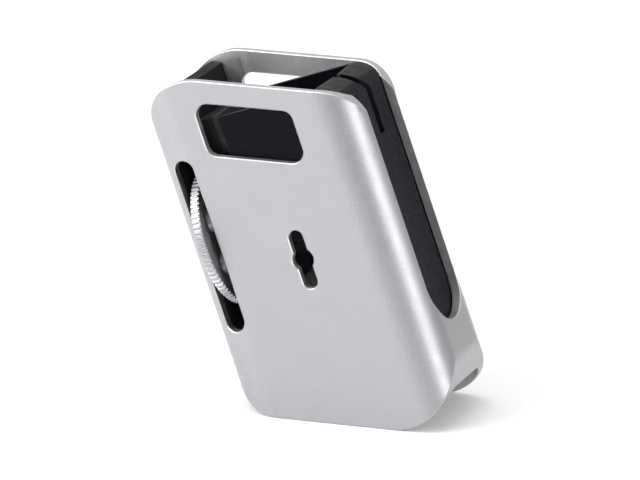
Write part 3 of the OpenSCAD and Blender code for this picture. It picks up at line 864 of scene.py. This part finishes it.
def dress(scene, node, name, edge):
    """Gives a kept node its finish, and rounds its edges by edge millimetres."""
    piece = frame["nodes"][node]
    piece.data.materials[0] = made_finish(name, scene.holder_colours)
    if edge > 0:
        joined = piece.modifiers.new("joined", "WELD")
        joined.merge_threshold = WELD
        rounded = piece.modifiers.new("rounded", "BEVEL")
        rounded.width = edge * MM
        rounded.segments = 2
        rounded.limit_method = "ANGLE"
        rounded.angle_limit = math.radians(EDGE_ANGLE)
        shading = piece.modifiers.new("shading", "WEIGHTED_NORMAL")
        shading.keep_sharp = False


def dress_all(scene, *rows):
    """Dresses kept nodes, by rows of a finish, an edge in millimetres and the nodes' names."""
    for name, edge, *nodes in rows:
        for node in nodes:
            dress(scene, node, name, edge)
    return {"FINISHED"}


# ---------------------------------------------------------------- operators


class MakeSleeve(bpy.types.Operator):
    """Build the sleeve with its windows, wheel slot, keyhole, stem gap and screw seats"""

    bl_idname = "holder.make_sleeve"
    bl_label = "Sleeve"

    def execute(self, context):
        finishes = [made_finish(name, context.scene.holder_colours) for name in SLEEVE_FINISHES]
        sleeve = sleeve_patches(context.scene.holder_sleeve).piece("sleeve_shell", finishes)
        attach(sleeve, "housing")
        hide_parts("sleeve")
        return {"FINISHED"}


class MakeWheelRim(bpy.types.Operator):
    """Build the thumb wheel's toothed rim and finish its hub"""

    bl_idname = "holder.make_wheel_rim"
    bl_label = "Thumb wheel"

    def execute(self, context):
        finish = made_finish("knurled_aluminium", context.scene.holder_colours)
        rim = wheel_rim_patches(context.scene.holder_wheel).piece("toothed_rim", [finish], 35.0)
        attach(rim, "wheel_screw")
        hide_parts("wheel_rim")
        return dress_all(context.scene, ("turned_anodised", 0.15, "wheel_hub"),
                         ("dark_steel", 0.05, "hub_grub_screw"))


class MakeLeadScrew(bpy.types.Operator):
    """Build the lead screw with its thread and journals"""

    bl_idname = "holder.make_lead_screw"
    bl_label = "Lead screw"

    def execute(self, context):
        finish = made_finish("bright_steel", context.scene.holder_colours)
        screw = lead_screw_patches(context.scene.holder_screw).piece("threaded_screw", [finish], 30.0)
        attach(screw, "wheel_screw")
        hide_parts("lead_screw")
        return {"FINISHED"}


class FinishPlates(bpy.types.Operator):
    """Finish the side plates, the bridge plate and the nest"""

    bl_idname = "holder.finish_plates"
    bl_label = "Plates and nest"

    def execute(self, context):
        return dress_all(context.scene, ("black_acetal", 0.2, "left_side_plate"),
                         ("black_steel", 0.2, "right_side_plate"),
                         ("black_anodised", 0.2, "bridge_plate"),
                         ("nest_anodised", 0.2, "nest_block"))


class FinishJaws(bpy.types.Operator):
    """Finish the jaw carriage and the pads on both jaws"""

    bl_idname = "holder.finish_jaws"
    bl_label = "Jaws"

    def execute(self, context):
        return dress_all(context.scene, ("black_acetal", 0.2, "jaw_carriage"),
                         ("jaw_plastic", 0.15, "fixed_jaw_pads", "moving_jaw_pad"))


class FinishRunningParts(bpy.types.Operator):
    """Finish the guide rods, bushes, nut, washers, clip and pillars"""

    bl_idname = "holder.finish_running_parts"
    bl_label = "Running parts"

    def execute(self, context):
        return dress_all(context.scene,
                         ("bright_steel", 0.1, "upper_guide_rod", "lower_guide_rod"),
                         ("bronze", 0.08, "outer_bearing_bush", "bridge_bearing_bush",
                          "end_bearing_bush", "guide_bushes"),
                         ("brass", 0.08, "lead_nut", "thrust_washers", "wheel_pillars"),
                         ("dark_steel", 0.0, "retaining_clip"))


class FinishFasteners(bpy.types.Operator):
    """Finish the slotted screws"""

    bl_idname = "holder.finish_fasteners"
    bl_label = "Screws"

    def execute(self, context):
        return dress_all(context.scene,
                         ("bright_steel", 0.05, "pillar_screws", "wall_screws",
                          "bridge_screws", "nest_screws", "fixed_pad_screws",
                          "moving_pad_screws", "nut_screws"))


def soft_light(name, place, target, size, power):
    """A soft box: a square or oblong light at a place in metres, turned to a target."""
    data = bpy.data.lights.new(name, "AREA")
    data.shape = "RECTANGLE"
    data.size, data.size_y = size
    data.energy = power
    lamp = bpy.data.objects.new(name, data)
    bpy.context.scene.collection.objects.link(lamp)
    lamp.location = place
    lamp.rotation_euler = (Vector(target) - Vector(place)).to_track_quat("-Z", "Y").to_euler()
    lamp.visible_camera = False


class MakeStage(bpy.types.Operator):
    """Build the pale floor, the soft light and the camera"""

    bl_idname = "holder.make_stage"
    bl_label = "Stage"

    def execute(self, context):
        scene = context.scene
        settings = scene.holder_stage
        self.make_floor(scene)
        self.make_light(scene, settings)
        self.make_camera(scene, settings)
        return {"FINISHED"}

    def make_floor(self, scene):
        """A wide sheet of paper that the holder stands on."""
        reach, level = FLOOR_REACH, cad_box[0].z
        mesh = bpy.data.meshes.new("paper_floor")
        mesh.from_pydata([(-reach, -reach, level), (reach, -reach, level), (reach, reach, level),
                          (-reach, reach, level)], [], [(0, 1, 2, 3)])
        floor = bpy.data.objects.new("paper_floor", mesh)
        scene.collection.objects.link(floor)
        paper = Finish("paper", scene.holder_colours.paper, 0.9, metallic=0.0)
        paper.tone(paper.pattern(40.0), 0.01)
        paper.shader.inputs["Emission Color"].default_value = (1.0, 1.0, 1.0, 1.0)
        paper.shader.inputs["Emission Strength"].default_value = FLOOR_GLOW
        mesh.materials.append(paper.material)

    def make_light(self, scene, settings):
        """Even light from a pale room, with soft boxes above, at the left and at the right."""
        room = bpy.data.worlds.new("room")
        scene.world = room
        room.use_nodes = True
        nodes, links = room.node_tree.nodes, room.node_tree.links
        background = nodes["Background"]
        direction = nodes.new("ShaderNodeTexCoord").outputs["Generated"]
        parts = nodes.new("ShaderNodeSeparateXYZ")
        ramp = nodes.new("ShaderNodeValToRGB")
        for element, (height, colour) in zip(ramp.color_ramp.elements, ROOM_TINTS):
            element.position, element.color = height, colour
        links.new(direction, parts.inputs["Vector"])
        links.new(parts.outputs["Z"], ramp.inputs["Fac"])
        links.new(ramp.outputs["Color"], background.inputs["Color"])
        background.inputs["Strength"].default_value = settings.room_light
        for soft_box in SOFT_BOXES:
            soft_light(*soft_box)
        scene.view_settings.view_transform = "Standard"
        scene.view_settings.look = "None"

    def make_camera(self, scene, settings):
        """A long lens in front, to the right and above, turned to the sleeve's front face."""
        data = bpy.data.cameras.new("camera")
        data.lens = settings.lens
        data.sensor_width = SENSOR_WIDTH
        data.clip_start, data.clip_end = 0.05, 100.0
        camera = bpy.data.objects.new("camera", data)
        scene.collection.objects.link(camera)
        turn, rise = settings.azimuth, settings.elevation
        back = Vector((math.sin(turn) * math.cos(rise), -math.cos(turn) * math.cos(rise),
                       math.sin(rise)))
        level = Vector((math.cos(turn), math.sin(turn), 0.0))
        upright = back.cross(level)
        right = level * math.cos(settings.roll) + upright * math.sin(settings.roll)
        up = upright * math.cos(settings.roll) - level * math.sin(settings.roll)
        face = Vector((SLEEVE_MIDDLE[0], SLEEVE_BOX[0][1], SLEEVE_MIDDLE[2]))
        spot = (face - settings.aim_right * right - settings.aim_up * up
                + settings.distance * back)
        camera.matrix_world = Matrix((
            (right.x, up.x, back.x, spot.x), (right.y, up.y, back.y, spot.y),
            (right.z, up.z, back.z, spot.z), (0.0, 0.0, 0.0, 1.0)))
        scene.camera = camera


class HolderPanel(bpy.types.Panel):
    """Lists the holder's pieces and their settings"""

    bl_idname = "VIEW3D_PT_movement_holder"
    bl_label = "Movement Holder"
    bl_space_type = "VIEW_3D"
    bl_region_type = "UI"
    bl_category = "Holder"

    def draw(self, context):
        for operator in OPERATORS:
            self.layout.operator(operator.bl_idname)
        for group in SETTINGS:
            settings = getattr(context.scene, group)
            box = self.layout.box()
            for name in settings.bl_rna.properties.keys()[1:]:
                box.prop(settings, name)


OPERATORS = (MakeStage, MakeSleeve, MakeWheelRim, MakeLeadScrew, FinishPlates, FinishJaws,
             FinishRunningParts, FinishFasteners)
SETTINGS = {"holder_sleeve": SleeveSizes, "holder_wheel": WheelSizes,
            "holder_screw": ScrewSizes, "holder_colours": FinishColours,
            "holder_stage": StageSettings}


def register():
    """Adds the holder's settings, operators and panel."""
    for kind in (*SETTINGS.values(), *OPERATORS, HolderPanel):
        bpy.utils.register_class(kind)
    for name, group in SETTINGS.items():
        setattr(bpy.types.Scene, name, PointerProperty(type=group))


def unregister():
    """Takes the panel, the operators and the settings away again."""
    for name in SETTINGS:
        delattr(bpy.types.Scene, name)
    for kind in (HolderPanel, *reversed(OPERATORS), *SETTINGS.values()):
        bpy.utils.unregister_class(kind)


def main():
    register()
    for operator in OPERATORS:
        group, name = operator.bl_idname.split(".")
        getattr(getattr(bpy.ops, group), name)()


if __name__ == "__main__":
    main()
